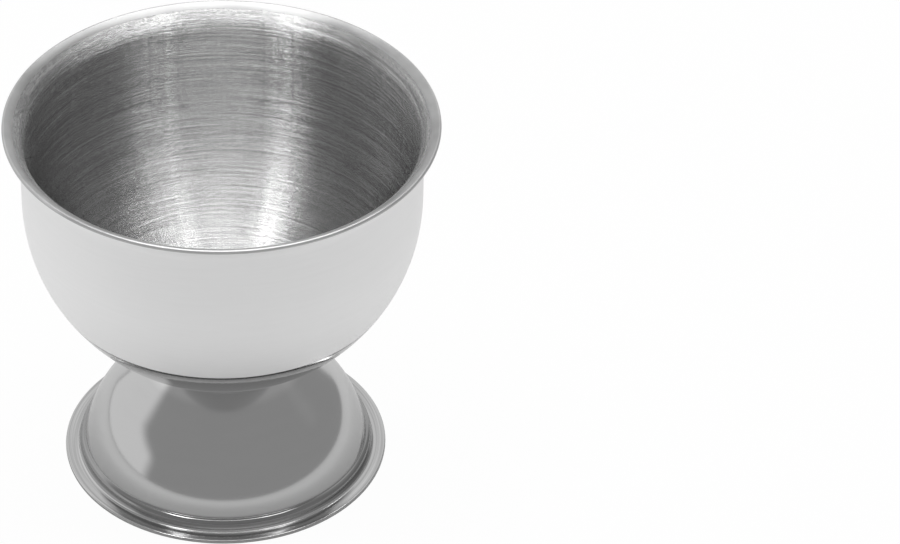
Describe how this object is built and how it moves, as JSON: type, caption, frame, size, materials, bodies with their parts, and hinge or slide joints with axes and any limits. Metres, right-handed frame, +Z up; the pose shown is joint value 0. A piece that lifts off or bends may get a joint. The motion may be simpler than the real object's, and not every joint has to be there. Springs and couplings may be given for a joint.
{
  "type": "egg cup",
  "caption": "Footed egg cup of sheet steel: a deep round bowl with a turned-out lip, spot-welded to a hollow polished foot with a beaded step.",
  "frame": {"origin": "on the table plane, at the middle of the foot's rim, straight under the middle of the bowl", "axes": "+Z up along the axis of revolution, from the foot to the lip; +X to the right and -Y towards the viewer of the picture"},
  "size_m": [0.05, 0.05, 0.047],
  "materials": {
    "satin_steel": "circular brushed inside, satin outside",
    "polished_steel": "mirror polished",
    "weld_metal": "bare weld metal"
  },
  "bodies": {
    "root": {"bowl": "satin_steel", "foot": "polished_steel", "weld_spots": "weld_metal"}
  },
  "joints": []
}
